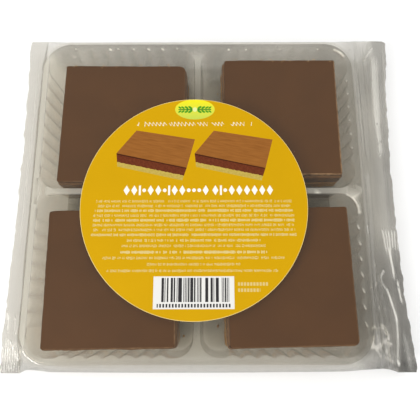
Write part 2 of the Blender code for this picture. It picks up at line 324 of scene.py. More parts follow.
def chocolate_finish(settings):
    """Smooth milk chocolate: a low sheen, faint clouding and a few fine scuffs."""
    finish = Finish("milk_chocolate")
    place = finish.place()
    cloud = finish.noise(place, 22 * MM, 3.0)
    grain = finish.noise(place, 0.45 * MM, 2.0)
    scuff = finish.noise(finish.stretch(place, 1.0, 0.22, 1.0), 1.6 * MM, 3.0, 0.6)
    clouded = finish.ramp(cloud, (0.3, 0.0), (0.7, 1.0))
    tone = finish.mix(clouded, times(settings.chocolate, 0.93), times(settings.chocolate, 1.07))
    worn = finish.painted("rubbed") * finish.ramp(finish.noise(place, 2.5 * MM, 2.0), (0.35, 0.3), (0.6, 1.0))
    values = {
        "Base Color": finish.mix(worn, tone, RUBBED_CHOCOLATE),
        "Roughness": 0.46 + grain * 0.12,
        "Specular IOR Level": 0.2,
        "Normal": finish.bump(grain * 0.2 + scuff * 0.3 + cloud, 0.05 * MM, 0.3),
    }
    return finish.surface(values)


def caramel_finish(settings):
    """Set caramel with a satin cut side: streaks where the knife went down, and tiny bubbles painted darker
    as painted shade.
    """
    finish = Finish("set_caramel")
    place = finish.place()
    streaks = finish.noise(finish.stretch(place, 1.0, 1.0, 0.12), 0.9 * MM, 3.0, 0.6)
    cloud = finish.noise(place, 6 * MM, 3.0)
    bubbles = finish.node("ShaderNodeTexVoronoi", values={"Vector": place, "Scale": 700.0})
    pores = finish.ramp(bubbles, (0.0, 1.0), (0.22, 0.0))
    dark = times(settings.caramel, 0.68)
    streaked = finish.ramp(streaks * 0.5 + cloud * 0.5, (0.32, 0.0), (0.68, 1.0))
    tone = finish.mix(streaked, dark, times(settings.caramel, 1.35))
    values = {
        # painted shade in the bubbles: they are painted darker
        "Base Color": finish.mix(pores * 0.5, tone, dark),
        "Roughness": 0.3 + cloud * 0.25,
        "Subsurface Weight": 0.1,
        "Subsurface Scale": 0.001,
        "Subsurface Radius": (1.0, 0.6, 0.35),
        "Normal": finish.bump(streaks - pores * 0.6, 0.25 * MM, 0.6),
    }
    return finish.surface(values)


def shortbread_finish(settings, name):
    """Baked shortbread: pale and sandy inside, browned in patches, full of pores that are painted darker as
    painted shade.
    """
    finish = Finish(name)
    place = finish.place()
    bake = finish.noise(place, 9 * MM, 4.0, 0.6)
    sand = finish.noise(place, 0.8 * MM, 4.0, 0.7)
    cells = finish.node("ShaderNodeTexVoronoi", values={"Vector": place, "Scale": 850.0})
    pores = finish.ramp(cells, (0.05, 1.0), (0.32, 0.0))
    browned = finish.ramp(bake * 0.55 + sand * 0.45, (0.4, 0.0), (0.66, 1.0))
    tone = finish.mix(browned, settings.shortbread, settings.crust)
    values = {
        # painted shade in the pores: they are painted darker
        "Base Color": finish.mix(pores * 0.55, tone, times(settings.crust, 0.55)),
        "Roughness": 0.82 + sand * 0.12,
        "Specular IOR Level": 0.25,
        "Normal": finish.bump(sand - pores * 0.8, 0.5 * MM, 0.9),
    }
    return finish.surface(values)


def floor_finish(settings):
    """A plain pale painted board."""
    finish = Finish("pale_floor")
    place = finish.place()
    tone = finish.mix(finish.noise(place, 180 * MM, 3.0), times(settings.floor, 0.98), settings.floor)
    normal = finish.bump(finish.noise(place, 1.5 * MM, 2.0), 0.05 * MM, 0.3)
    return finish.surface({"Base Color": tone, "Roughness": 0.7, "Normal": normal})


# The label's print, in millimetres from the label's middle


PRINT_ROWS = (  # height, half length and boldness of each row of small strokes
    (1.5, 49.0, 0.0),
    (-0.9, 48.0, 0.0),
    (-3.3, 49.3, 0.04),
    (-5.8, 50.0, 0.0),
    (-8.2, 50.0, 0.05),
    (-10.6, 50.0, 0.0),
    (-13.0, 50.0, 0.0),
    (-15.5, 50.6, 0.03),
    (-18.3, 32.8, 0.02),
    (-21.0, 35.2, 0.0),
    (-24.1, 35.8, 0.06),
    (-26.9, 44.4, 0.0),
    (-30.0, 22.6, 0.0),
    (-33.1, 42.0, 0.0),
)
PRINT_PITCH = 0.62  # from stroke to stroke


def bar(x, y, middle, half_width, half_height):
    """1 inside an upright rectangle, 0 outside."""
    return (abs(x - middle[0]) < half_width) * (abs(y - middle[1]) < half_height)


def inside(x, y, corners):
    """1 inside a shape with straight sides and no inward corner, given clockwise."""
    sides = [
        (x * (y1 - y0) - y * (x1 - x0)) > (x0 * (y1 - y0) - y0 * (x1 - x0))
        for (x0, y0), (x1, y1) in zip(corners, corners[1:] + corners[:1])
    ]
    return reduce(mul, sides)


def small_strokes(finish, x, y):
    """Rows of small broken strokes."""
    strokes = finish.noise(finish.vector(x * 3.4, y * 1.7), 1.0, 1.0)
    columns = x / PRINT_PITCH
    mark = columns.math("FLOOR")
    beside = abs(columns - mark - 0.5)
    rows = []
    for index, (height, half_length, bold) in enumerate(PRINT_ROWS):
        seed = mark + index * 97.3
        chance = finish.node("ShaderNodeTexWhiteNoise", {"noise_dimensions": "1D"}, {"W": seed})
        tall = 0.52 + 0.2 * (chance > 0.72)
        row = bar(x, y, (0.0, height), half_length, tall) * (chance > 0.15)
        rows.append(row * (beside < 0.38 + bold) * (strokes > 0.47 - bold * 2))
    return reduce(add, rows)


def mark_row(x, y, height, start, end, seed):
    """A line of lozenges, bars and dots."""
    draw = random.Random(seed)
    marks = []
    place = start
    up = abs(y - height)
    while place < end - 1.0:
        shape = draw.choice(("lozenge", "lozenge", "bar", "dot"))
        half = {"lozenge": 1.55, "bar": 0.5, "dot": 0.95}[shape]
        across = abs(x - place - half)
        if shape == "lozenge":
            marks.append((across / half + up / 2.6) < 1.0)
        elif shape == "bar":
            marks.append((across < half) * (up < 2.5))
        else:
            marks.append((across**2.0 + up**2.0) < half * half)
        place += half * 2 + 0.75
    return reduce(add, marks)


def script_line(finish, x, y, height, half_length):
    """A slanting pen line, broken at chance places."""
    wander = finish.strip_noise(x, 4.0, 3.0)
    slanted = x + (y - height) * 0.35
    wave = (slanted * 3.3 + wander * 5.0).math("SINE") * (0.3 + wander)
    words = finish.strip_noise(x, 5.0, 11.0) > 0.4
    return (abs(y - height - wave) < 0.34) * words * (abs(x) < half_length)


def ellipse(along, over, length, width):
    return ((along / length) ** 2.0 + (over / width) ** 2.0) < 1.0


def badge(finish, x, y, tone):
    """An oval in two tones with a laurel sprig lying on its side: pairs of leaves beside a bead."""
    low, high = (0.5, 0.6, 0.08), (0.8, 0.72, 0.01)
    tone = finish.mix(ellipse(x, y, 10.4, 5.7), tone, finish.mix(y / 11.0 + 0.5, low, high))
    across = abs(x)
    up = abs(y + 0.1)
    slant = math.radians(34)
    leaves = []
    for place in (2.4, 4.4, 6.3, 7.9):
        along = (across - place) * math.cos(slant) + (up - 1.1) * math.sin(slant)
        over = (up - 1.1) * math.cos(slant) - (across - place) * math.sin(slant)
        size = 0.85 - place * 0.035
        leaves.append(ellipse(along, over, 1.7 * size, 0.8 * size))
    tone = finish.mix((up < 0.3) * (across < 8.6), tone, (0.03, 0.2, 0.02))
    tone = finish.mix(reduce(add, leaves), tone, (0.06, 0.28, 0.015))
    return finish.mix((across**2.0 + up**2.0) < 1.5, tone, (0.7, 0.75, 0.3))


def label_finish(settings, middle, radius):
    """The printed label: colours, blocks and strokes on a warm yellow ground."""
    finish = Finish("printed_label")
    place = finish.place()
    x, y, _ = finish.split(place)
    x = (x - middle[0]) / MM
    y = (y - middle[1]) / MM
    fleck = finish.noise(place, 0.5 * MM, 2.0)
    drift = finish.noise(place, 30 * MM, 2.0)
    tone = finish.mix(drift, times(settings.paper, 0.95), times(settings.paper, 1.06))
    tone = finish.mix(small_strokes(finish, x, y) * 0.74, tone, settings.ink)
    marks = mark_row(x, y, 7.2, -35.5, 6.0, 3) + mark_row(x, y, 7.2, 9.2, 38.4, 8)
    tone = finish.mix(marks, tone, (0.84, 0.81, 0.74))
    tone = finish.mix(script_line(finish, x, y, 43.0, 30.0) * 0.85, tone, (0.84, 0.8, 0.62))
    tone = pictured_square(finish, x + 20.0, y - 26.0, tone)
    tone = pictured_square(finish, x - 20.2, y - 25.8, tone)
    tone = badge(finish, x - 0.2, y - 51.3, tone)
    tone = striped_panel(finish, x, y, tone, settings)
    brink = (x**2.0 + y**2.0) > (radius / MM - 0.22) ** 2
    values = {
        "Base Color": finish.mix(brink, tone, (0.76, 0.6, 0.24)),
        "Roughness": 0.5 + fleck * 0.1,
        "Specular IOR Level": 0.1,
        "Normal": finish.bump(fleck, 0.02 * MM, 0.4),
    }
    return finish.surface(values)


def pictured_square(finish, x, y, tone):
    """A plain block in three colours, about its own middle."""
    top = inside(x, y, [(-20.0, 1.0), (-10.1, 13.5), (20.3, 8.5), (16.2, -6.9)])
    side = inside(x, y, [(-20.0, 1.0), (16.2, -6.9), (14.0, -13.6), (-19.2, -6.2)])
    edge = inside(x, y, [(16.2, -6.9), (20.3, 8.5), (19.4, 4.2), (14.0, -13.6)])
    slope = y + x * 0.215
    coat = side * (slope > -4.0)
    crumble = finish.noise(finish.vector(x * 0.9, y * 0.9), 1.0, 3.0, 0.7)
    base = side * (slope + crumble * 1.4 < -7.2)
    streak = finish.noise(finish.vector(x * 0.12, y * 1.1 + x * 0.2), 1.0, 3.0)
    tone = finish.mix(top, tone, finish.mix(streak, (0.18, 0.06, 0.01), (0.36, 0.14, 0.03)))
    tone = finish.mix(side, tone, finish.mix(crumble, (0.05, 0.007, 0.003), (0.2, 0.05, 0.018)))
    tone = finish.mix(edge, tone, (0.12, 0.03, 0.008))
    tone = finish.mix(coat, tone, (0.055, 0.014, 0.005))
    return finish.mix(base, tone, finish.mix(crumble, (0.33, 0.23, 0.02), (0.6, 0.46, 0.12)))


def striped_panel(finish, x, y, tone, settings):
    """A light panel with upright stripes of chance widths, and two short rows beside it."""
    panel = bar(x, y, (0.2, -43.5), 19.4, 7.7)
    column = ((x + 15.2) / 0.36).math("FLOOR")
    chance = finish.node("ShaderNodeTexWhiteNoise", {"noise_dimensions": "1D"}, {"W": column + 0.37})
    stripes = bar(x, y, (0.9, -42.2), 16.2, 5.7) * (chance > 0.47)
    pitch = 1.5
    apart = abs(x % pitch - pitch / 2)
    ticks = bar(x, y, (0.2, -49.6), 17.6, 0.85) * (apart < 0.42)
    rows = (bar(x, y, (28.6, -39.5), 7.2, 0.8) + bar(x, y, (26.7, -42.4), 5.3, 0.8)) * (apart < 0.52)
    tone = finish.mix(panel, tone, settings.panel)
    tone = finish.mix(rows * 0.6, tone, settings.ink)
    return finish.mix(stripes + ticks, tone, (0.03, 0.028, 0.03))


# Shapes


def sweep(bm, count, rows, place):
    """Pulls a ring of points through the rows. place(station, row) gives each point. Returns the edges of the
    first ring and of the last."""
    station = bm.verts.layers.int.get("station") or bm.verts.layers.int.new("station")
    ring = bmesh.ops.create_circle(bm, segments=count, radius=1.0)["verts"]
    for index, vert in enumerate(ring):
        vert[station] = index
        vert.co = place(index, rows[0])
    edges = list({edge for vert in ring for edge in vert.link_edges})
    first = edges
    for row in rows[1:]:
        grown = bmesh.ops.extrude_edge_only(bm, edges=edges)["geom"]
        edges = [item for item in grown if isinstance(item, bmesh.types.BMEdge) and item.is_boundary]
        for vert in {vert for edge in edges for vert in edge.verts}:
            vert.co = place(vert[station], row)
    return first, edges


def close(bm, edges):
    """Fills a ring with faces."""
    bmesh.ops.triangle_fill(bm, use_beauty=True, edges=edges)


def arc(centre, radius, start, steps):
    """Points and outward directions on a quarter circle that starts at an angle in degrees."""
    for step in range(steps + 1):
        angle = math.radians(start + 90.0 * step / steps)
        outward = Vector((math.cos(angle), math.sin(angle)))
        yield centre + outward * radius, outward


def between(start, end, spacing):
    """Points evenly between two ends, without the ends."""
    steps = max(2, round((end - start).length / spacing))
    return [start.lerp(end, step / steps) for step in range(1, steps)]


def rounded_box(size, radii, spacing, steps):
    """Points and outward directions round a rectangle with round corners, anticlockwise from the right."""
    signs = ((1, 1), (-1, 1), (-1, -1), (1, -1))
    arcs = []
    for index, (side, radius) in enumerate(zip(signs, radii)):
        middle = Vector(side) * 0.5 * size - Vector(side) * radius
        arcs.append(list(arc(middle, radius, index * 90, steps)))
    outline = []
    for points, following in zip(arcs, arcs[1:] + arcs[:1]):
        outline += points
        outward = points[-1][1]
        outline += [(point, outward) for point in between(points[-1][0], following[0][0], spacing)]
    return outline


def ease(value):
    """0 to 1 with a soft start and end."""
    value = min(1.0, max(0.0, value))
    return value * value * (3.0 - 2.0 * value)


def lumps(point, size, octaves=3):
    """Noise between about -1 and 1 with lumps of that size."""
    return noise.fractal(point / size, 1.0, 2.0, octaves)


def paint(mesh, name, strength):
    """Gives each point of a mesh a number from 0 to 1 that follows from its place."""
    layer = mesh.attributes.new(name, "FLOAT", "POINT")
    for vert, value in zip(mesh.vertices, layer.data):
        value.value = min(1.0, max(0.0, strength(vert.co)))


def add_piece(name, bm, material, nodes, closed=True, crease=50.0, painted=()):
    """Turns a bmesh into a piece that rides with the pack and stands for the nodes."""
    bmesh.ops.remove_doubles(bm, verts=bm.verts, dist=0.002 * MM)
    if closed:
        bmesh.ops.recalc_face_normals(bm, faces=bm.faces)
    mesh = bpy.data.meshes.new(name)
    bm.to_mesh(mesh)
    bm.free()
    mesh.shade_smooth()
    mesh.set_sharp_from_angle(angle=math.radians(crease))
    mesh.materials.append(material)
    for layer, strength in dict(painted).items():
        paint(mesh, layer, strength)
    piece = bpy.data.objects.new(name, mesh)
    bpy.context.scene.collection.objects.link(piece)
    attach(piece, "root")
    if nodes:
        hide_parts(*nodes)
    return piece


# Tray


def rib_share(distance, run, settings):
    """How much of its depth a rib has at a distance along a straight wall: 0 between the ribs."""
    count = int(run // settings.rib_pitch)
    margin = (run - count * settings.rib_pitch) / 2
    if not margin < distance < run - margin:
        return 0.0
    return abs(math.sin(math.pi * (distance - margin) / settings.rib_pitch)) ** 1.4


def well_outline(settings):
    """Points of the far right well's rim, with outward directions and shares of a rib's depth. The walls on
    the outside of the tray are ribbed."""
    near_edge = settings.divider / 2
    corners = (
        ((1, 1), settings.well_corner, True),
        ((-1, 1), settings.inner_corner, False),
        ((-1, -1), settings.inner_corner, False),
        ((1, -1), settings.inner_corner, True),
    )
    middle = Vector((1, 1)) * (near_edge + settings.well / 2)
    arcs = []
    for index, (side, radius, ribbed) in enumerate(corners):
        centre = middle + Vector(side) * (settings.well / 2 - radius)
        arcs.append((list(arc(centre, radius, index * 90, 14)), ribbed))
    outline = []
    for (points, ribbed), (following, _) in zip(arcs, arcs[1:] + arcs[:1]):
        outline += [(point, outward, 0.0) for point, outward in points]
        start, end = points[-1][0], following[0][0]
        run = (end - start).length
        spacing = 0.55 * MM if ribbed else 2.2 * MM
        for point in between(start, end, spacing):
            share = rib_share((point - start).length, run, settings) if ribbed else 0.0
            outline.append((point, points[-1][1], share))
    return outline


def well_rows(settings, depth):
    """Rows down a well's wall: (drop below the rim, inset, share of the ribs)."""
    low = depth - settings.floor_fillet
    drops = [0.0, 0.03, 0.1, 0.2, 0.3, 0.42, 0.56, 0.72, 0.9, 1.1, 1.3, 1.55, 1.8, 2.1, 2.6, 3.4]
    drops = [drop * MM for drop in drops]
    drops += [drops[-1] + (low - drops[-1]) * step / 4 for step in range(1, 5)]
    rows = []
    for drop in drops:
        part = min(1.0, drop / settings.fillet)
        rounded = settings.fillet * (1 - math.sqrt(1 - (1 - part) ** 2))
        raised = min(1.0, max(0.0, (drop - settings.rib_start) / settings.rib_shoulder))
        rows.append((drop, settings.draft * drop / depth - rounded, math.sin(math.pi / 2 * raised)))
    for step in range(1, 5):
        angle = math.radians(22.5 * step)
        drop = low + settings.floor_fillet * math.sin(angle)
        inset = settings.draft + settings.floor_fillet * (1 - math.cos(angle))
        rows.append((drop, inset, 1.0))
    return rows


PAINTED_GLINTS = (  # painted highlights where ribs' tops and wells' corners catch light: lines from x, y to x, y, strength, width, in mm
    *((x - 0.8, 80.8, x + 0.8, 80.2, 1.0, 0.6) for x in (-66.8, -48.0, -43.6, -35.2, -27.0, -19.3, -11.2)),
    *((x - 0.6, 80.5, x + 0.6, 80.2, 0.9, 0.5) for x in (17.0, 26.5, 45.0, 52.0, 66.0)),
    *((79.9, y + 0.25, 80.1, y - 0.25, 1.0, 0.6) for y in (69.4, 61.7, 54.0, 46.3, 38.6, 30.8, 23.0)),
    *((79.7, y + 1.1, 80.6, y - 1.1, 1.0, 0.5) for y in (-18.8, -26.9, -34.6, -42.3, -50.0, -57.8, -65.8)),
    (74.2, 80.1, 77.7, 78.1, 0.9, 0.6),
    (77.7, 78.1, 79.9, 75.4, 0.8, 0.6),
    (75.2, -1.9, 78.6, -3.8, 0.8, 0.7),
    (78.6, -3.8, 80.7, -8.2, 1.0, 0.7),
    (80.7, -8.2, 81.1, -12.0, 0.9, 0.7),
    (59.5, -1.4, 62.5, -1.0, 0.9, 0.6),
)
CORNER_MIDDLE = 68.6 * MM  # how far out the tray's outer corners turn
LIP_REACH = 14.1 * MM  # from there to where the edge turns down
FIRST_FLUTE = 13.25 * MM
FLUTE_PITCH = 7.7 * MM


def tray_painted_highlight(point):
    """Painted highlights: glints on the tops of the ribs and where the wells' corners turn, and painted light
    on the rim on the side of the window and along the middle.
    """
    window = 0.6 * ease((-80.6 * MM - point.x) / (0.4 * MM))
    middle = (0.36 if point.x < 0 else 0.3) * ease((2.6 * MM - abs(point.y)) / (0.8 * MM))
    glints = along_lines(PAINTED_GLINTS, point.x, point.y) * ease((point.z - 28.2 * MM) / (0.6 * MM))
    return max(glints, max(window, middle) * ease((point.z - 27.4 * MM) / (0.8 * MM)))


def tray_painted_shade(point):
    """Painted shade: the tray is darker on the side away from the window, along its far edge, on its
    turned-down lip and in the grooves between the ribs of its left wall.
    """
    right = 0.19 * ease((point.x + 60 * MM) / (60 * MM)) + 0.27 * ease((point.x - 40 * MM) / (40 * MM))
    far = 0.68 * ease((point.y - 74 * MM) / (8 * MM)) * (1 - 0.4 * ease(point.x / (60 * MM)))
    beyond = [max(0.0, abs(part) - CORNER_MIDDLE) for part in point[:2]]
    folded = 0.5 * ease((math.hypot(*beyond) - LIP_REACH) / (0.6 * MM))
    folded *= ease((28.4 * MM - point.z) / (0.4 * MM))
    on_wall = ease((-point.x - 77.6 * MM) / (0.6 * MM)) * ease((28.3 * MM - point.z) / (0.8 * MM))
    phase = (abs(point.y) - FIRST_FLUTE) / FLUTE_PITCH
    groove_shade = 0.2 * on_wall * (1 - abs(math.sin(math.pi * phase))) if 0 < phase < 7 else 0.0
    return right + far + folded + groove_shade


class PACK_OT_tray(bpy.types.Operator):
    """Adds the clear formed tray with its ribbed wells"""

    bl_idname = "shortbread.tray"
    bl_label = "Tray"

    def execute(self, context):
        settings = context.scene.shortbread.tray
        low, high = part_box("tray")
        rim = high[2] - 0.02 * MM
        depth = high[2] - low[2] - 0.5 * MM
        half = high[0] - 0.4 * MM
        bm = bmesh.new()
        edge = rounded_box(Vector((half, half)) * 2, [settings.corner] * 4, 2.0 * MM, 16)
        fold = 0.8 * MM
        lip_rows = [(settings.lip, 0.35 * MM)]
        for step in range(6):
            angle = math.radians(90 - 18.0 * step)
            lip_rows.append((fold * (1 - math.cos(angle)), -fold * (1 - math.sin(angle))))

        def on_lip(station, row):
            point, outward = edge[station]
            drop, reach = row
            flat = point + outward * reach
            return Vector((flat.x, flat.y, rim - drop))

        boundary = sweep(bm, len(edge), lip_rows, on_lip)[1]
        outline = well_outline(settings)
        rows = well_rows(settings, depth)
        for side_x, side_y in ((1, 1), (-1, 1), (-1, -1), (1, -1)):

            def in_well(station, row):
                point, outward, share = outline[station]
                drop, inset, ribs = row
                flat = point - outward * (share * ribs * settings.rib_depth + inset)
                return Vector((flat.x * side_x, flat.y * side_y, rim - drop))

            top, bottom = sweep(bm, len(outline), rows, in_well)
            boundary = boundary + top
            close(bm, bottom)
        bmesh.ops.triangle_fill(bm, use_beauty=True, edges=boundary, normal=(0, 0, 1))
        bmesh.ops.recalc_face_normals(bm, faces=bm.faces)
        plastic = clear_plastic(
            "clear_tray_plastic", settings.tint, settings.edge_tint, 0.04, 0.07, 0.07, 9 * MM
        )
        # painted shade and painted highlights on the tray
        painted = {"dusk": tray_painted_shade, "glare": tray_painted_highlight}
        add_piece("formed_tray", bm, plastic, ["tray"], False, 60.0, painted)
        return {"FINISHED"}


# Squares


def true_size(box_size, turn):
    """The sides of a rectangle that lies at an angle in a box of that size."""
    c, s = math.cos(turn), math.sin(abs(turn))
    width, depth = box_size
    spread = c * c - s * s
    return Vector(((width * c - depth * s) / spread, (depth * c - width * s) / spread))


def make_layers(layer, material, spacing, rough, rows, relief):
    """One layer of every square, in the places of its nodes. rows are (share of the height, inset in mm,
    shrink, share of the relief), from the underside up."""
    for place in PLACES:
        make_layer(layer, place, material, spacing, rough, rows, relief)


def make_layer(layer, place, material, spacing, rough, rows, relief):
    node = f"{layer}_{place}"
    low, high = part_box(node)
    turn = math.radians(TURNS.get(place, 0.0))
    size = true_size((high[0] - low[0], high[1] - low[1]), turn) - Vector((rough, rough)) * 2
    middle = Vector(((high[0] + low[0]) / 2, (high[1] + low[1]) / 2))
    height = high[2] - low[2]
    radii = [(radius + ROUNDING[layer]) * MM for radius in CORNERS[place]]
    outline = rounded_box(size, radii, spacing, 5)
    spin = Matrix.Rotation(turn, 2)

    def on_layer(station, row):
        point, outward = outline[station]
        share, inset, shrink, part = row
        here = Vector((point.x + middle.x, point.y + middle.y, low[2] + share * height))
        sideways, up = relief(here, outward, share)
        flat = middle + spin @ ((point + outward * (sideways * part - inset * MM)) * shrink)
        return Vector((flat.x, flat.y, here.z + up))

    def rubbed(point):
        """The near and right edges are paler, where the knife went down."""
        x, y = Matrix.Rotation(-turn, 2) @ (Vector(point[:2]) - middle)
        edge = max(x - size.x / 2, -y - size.y / 2)
        return ease((edge + 0.75 * MM) / (0.25 * MM)) * (RUBBED[place] if x > 0 else 0.25)

    bm = bmesh.new()
    for end in sweep(bm, len(outline), rows, on_layer):
        close(bm, end)
    painted = {"rubbed": rubbed} if layer == "chocolate" else {}
    add_piece(f"{layer}_layer_{place}", bm, material, [node], painted=painted)


class PACK_OT_shortbread(bpy.types.Operator):
    """Adds the crumbly shortbread of each square"""

    bl_idname = "shortbread.shortbread"
    bl_label = "Shortbread"

    def execute(self, context):
        settings = context.scene.shortbread.squares
        rows = [(0.0, 6.0, 1.0, 0.0), (0.0, 1.6, 1.0, 0.3), (0.02, 0.9, 1.0, 0.7)]
        rows += [(0.02 + 0.93 * step / 15, max(0.0, 0.9 * (1 - step / 5)), 1.0, 1.0) for step in range(1, 16)]
        rows += [(0.985, 0.35, 1.0, 0.8), (1.0, 0.9, 1.0, 0.5), (1.0, 1.5, 1.0, 0.3)]
        rows += [(1.0, 1.5, 0.96, 0.2), (1.0, 1.5, 0.9, 0.0)]

        def crumble(here, outward, share):
            broad = lumps(here, 5 * MM) * 0.35
            fine = lumps(here, 1.1 * MM, 2) * 0.3
            pit = max(0.0, lumps(here + Vector((9, 9, 9)), 1.9 * MM, 2) - 0.28) * 1.9
            top = lumps(here, 1.4 * MM, 2) * 0.18 if share > 0.97 else 0.0
            return (broad + fine - pit) * MM, (top - 0.12 * (share > 0.97)) * MM

        material = shortbread_finish(settings, "baked_shortbread")
        make_layers("shortbread", material, settings.spacing, 0.45 * MM, rows, crumble)
        return {"FINISHED"}


class PACK_OT_caramel(bpy.types.Operator):
    """Adds the caramel of each square"""

    bl_idname = "shortbread.caramel"
    bl_label = "Caramel"

    def execute(self, context):
        settings = context.scene.shortbread.squares
        rows = [(0.0, 6.0, 1.0, 0.0), (0.0, 0.9, 1.0, 0.5), (0.03, 0.25, 1.0, 1.0)]
        rows += [(step / 12, 0.0, 1.0, 1.0) for step in range(1, 12)]
        rows += [(0.975, 0.2, 1.0, 1.0), (1.0, 0.7, 1.0, 0.6), (1.0, 4.0, 1.0, 0.0)]

        def drag(here, outward, share):
            flat = Vector((here.x, here.y, here.z * 0.15))
            sag = math.sin(share * math.pi) * 0.16 - share * 0.1
            return (sag + lumps(here, 9 * MM) * 0.28 + lumps(flat, 1.2 * MM, 2) * 0.1) * MM, 0.0

        make_layers("caramel", caramel_finish(settings), settings.spacing * 1.4, 0.25 * MM, rows, drag)
        return {"FINISHED"}


class PACK_OT_chocolate(bpy.types.Operator):
    """Adds the chocolate top of each square"""

    bl_idname = "shortbread.chocolate"
    bl_label = "Chocolate"

    def execute(self, context):
        settings = context.scene.shortbread.squares
        rows = [(0.0, 3.0, 1.0, 0.0), (0.0, 0.2, 1.0, 0.8), (0.15, 0.0, 1.0, 1.0), (0.4, 0.0, 1.0, 1.0)]
        rows += [(0.7, 0.0, 1.0, 1.0), (0.86, 0.05, 1.0, 0.9), (0.95, 0.16, 1.0, 0.8), (0.99, 0.3, 1.0, 0.7)]
        rows += [(1.0, 0.55, 1.0, 0.5), (1.0, 0.78, 1.0, 0.4), (1.0, 1.3, 0.98, 0.15)]
        shrinks = (0.95, 0.9, 0.83, 0.74, 0.64, 0.53, 0.42, 0.31, 0.2, 0.1)
        rows += [(1.0, 1.3, shrink, 0.0) for shrink in shrinks]

        def snap(here, outward, share):
            chip = max(0.0, lumps(here, 2.4 * MM, 2) - 0.42) * 1.6
            side = lumps(here, 0.9 * MM, 2) * 0.12 + lumps(here, 12 * MM, 2) * 0.16 - chip
            calm = Vector((here.x, here.y, 0.0))
            return side * MM, (lumps(calm, 26 * MM, 2) * 0.14 - 0.14) * MM * (share > 0.9)

        make_layers("chocolate", chocolate_finish(settings), settings.spacing, 0.12 * MM, rows, snap)
        return {"FINISHED"}


WALL_CRUMBS = (  # places in mm of crumbs that cling to the tray's wall
    (-77.6, -26.8, 22.0),
    (-75.4, -14.4, 20.0),
    (-78.4, -43.5, 22.0),
    (-77.9, -57.0, 16.0),
    (-76.8, 22.0, 20.0),
)


def add_crumb(bm, draw, size, roughness, place, squash=(1.0, 1.0, 1.0)):
    made = bmesh.ops.create_icosphere(bm, subdivisions=1, radius=size)["verts"]
    bmesh.ops.transform(bm, matrix=Matrix.Diagonal((*squash, 1.0)), verts=made)
    for vert in made:
        vert.co *= 1.0 + draw.uniform(-roughness, roughness)
    bmesh.ops.translate(bm, vec=place, verts=made)


class PACK_OT_crumbs(bpy.types.Operator):
    """Scatters loose crumbs round the squares"""

    bl_idname = "shortbread.crumbs"
    bl_label = "Crumbs"

    def execute(self, context):
        settings = context.scene.shortbread.squares
        draw = random.Random(41)
        bm = bmesh.new()
        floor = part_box("tray")[0][2] + 0.5 * MM
        for _ in range(settings.crumbs):
            low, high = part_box("shortbread_" + draw.choice(PLACES))
            along = draw.uniform(0.05, 0.95)
            gap = draw.uniform(0.6, 2.4) * MM
            side = draw.randrange(4)
            x, y = (low[axis] + along * (high[axis] - low[axis]) for axis in (0, 1))
            if side < 2:
                x = (low[0] - gap, high[0] + gap)[side]
            else:
                y = (low[1] - gap, high[1] + gap)[side - 2]
            if max(abs(x), abs(y)) > 76.5 * MM or min(abs(x), abs(y)) < 5.5 * MM:
                continue
            size = draw.uniform(0.25, 0.8) * MM
            squash = (draw.uniform(0.7, 1.3), draw.uniform(0.7, 1.3), draw.uniform(0.5, 0.9))
            add_crumb(bm, draw, size, 0.22, (x, y, floor + size * 0.6), squash)
        places = [(x * MM, y * MM, z * MM) for x, y, z in WALL_CRUMBS]
        for place in ("far_left", "far_right"):
            low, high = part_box("chocolate_" + place)
            for _ in range(16):
                x = low[0] + draw.uniform(0.04, 0.96) * (high[0] - low[0])
                places.append((x, high[1] - draw.triangular(-0.3, 2.4, 0.0) * MM, high[2] + 0.1 * MM))
        for place in places:
            add_crumb(bm, draw, draw.uniform(0.2, 0.42) * MM, 0.3, place)
        add_piece("loose_crumbs", bm, shortbread_finish(settings, "crumb"), [], crease=20.0)
        return {"FINISHED"}


# Film


